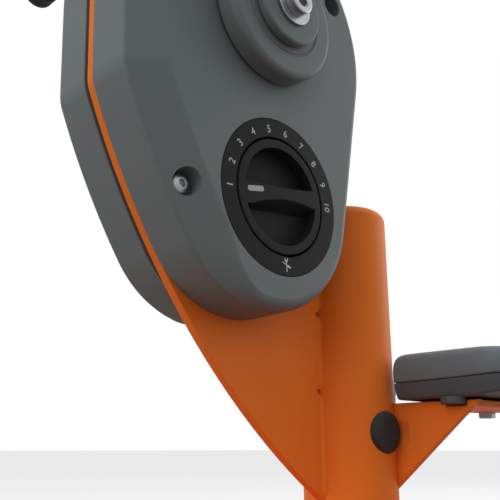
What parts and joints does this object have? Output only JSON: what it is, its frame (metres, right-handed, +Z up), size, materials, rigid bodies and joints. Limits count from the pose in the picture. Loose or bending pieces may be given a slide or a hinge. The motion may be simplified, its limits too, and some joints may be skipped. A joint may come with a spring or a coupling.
{
  "type": "hand grip strengthener",
  "caption": "Bench station for grip training: two sprung squeeze levers against a fixed handle bar, a load dial on a two-shell casing, an orange post and elbow pads.",
  "frame": {"origin": "the post's axis on the underside of the base plate", "axes": "+Z up, +X towards the user along the frame plate, the dial faces -Y"},
  "size_m": [0.352, 0.358, 0.488],
  "materials": {
    "orange_paint": "gloss powder coat",
    "shell_plastic": "fine moulded texture",
    "dial_plastic": "satin",
    "pointer_plastic": "satin",
    "bright_steel": "turned",
    "zinc_steel": "zinc plated",
    "bronze": "sintered",
    "grip_rubber": "matte",
    "pad_skin": "moulded foam skin",
    "tray_plastic": "moulded"
  },
  "bodies": {
    "frame": {"base_plate": "orange_paint", "foot_ribs": "orange_paint", "post_tube": "orange_paint", "post_cap": "orange_paint", "frame_plate": "orange_paint", "pivot_tube": "orange_paint", "pivot_bushes": "bronze", "housing_front": "shell_plastic", "housing_rear": "shell_plastic", "housing_pillars": "zinc_steel", "housing_screws": "bright_steel", "dial_ring": "dial_plastic", "spindle_bush": "bronze", "detent_spring": "bright_steel", "guide_screws": "bright_steel", "stop_bumpers": "grip_rubber", "handle_bar": "bright_steel", "fixed_grip_front": "grip_rubber", "fixed_grip_rear": "grip_rubber", "handle_plugs": "grip_rubber", "pad_front": "pad_skin", "pad_rear": "pad_skin", "pad_tray_front": "tray_plastic", "pad_tray_rear": "tray_plastic", "pad_bracket_front": "orange_paint", "pad_bracket_rear": "orange_paint", "pad_screws": "bright_steel", "cross_bolt": "bright_steel", "cross_bolt_caps": "grip_rubber"},
    "levers": {"pivot_shaft": "bright_steel", "shaft_collar": "zinc_steel", "spring_arm": "zinc_steel", "arm_pin": "bright_steel", "hub_front": "shell_plastic", "hub_rear": "shell_plastic", "hub_bolts": "bright_steel", "lever_front": "shell_plastic", "lever_rear": "shell_plastic", "grip_rods": "bright_steel", "moving_grip_front": "grip_rubber", "moving_grip_rear": "grip_rubber", "moving_grip_caps": "grip_rubber"},
    "dial": {"dial_knob": "dial_plastic", "dial_pointer": "pointer_plastic", "dial_spindle": "bright_steel", "detent_disc": "zinc_steel"},
    "spring_anchor": {"anchor_slide": "zinc_steel", "anchor_pin": "bright_steel", "load_spring": "bright_steel"}
  },
  "joints": [
    {"name": "squeeze", "type": "hinge", "parent": "frame", "child": "levers", "pos_m": [-0.1132, 0, 0.35], "axis": [0, 1, 0], "range_deg": [0, 13], "stiffness_Nm_per_rad": 12, "springref_deg": -20.05, "deforming": ["load_spring"]},
    {"name": "dial_turn", "type": "hinge", "parent": "frame", "child": "dial", "pos_m": [-0.103, -0.03, 0.24], "axis": [0, 1, 0], "range_deg": [-90, 180], "deforming": ["detent_spring"]},
    {"name": "anchor_travel", "type": "slide", "parent": "frame", "child": "spring_anchor", "axis": [0, 0, -1], "range_m": [-0.01256, 0.02513]}
  ],
  "couplings": [
    {"joint": "dial_turn", "follows": "anchor_travel", "rad_per_m": 125}
  ]
}
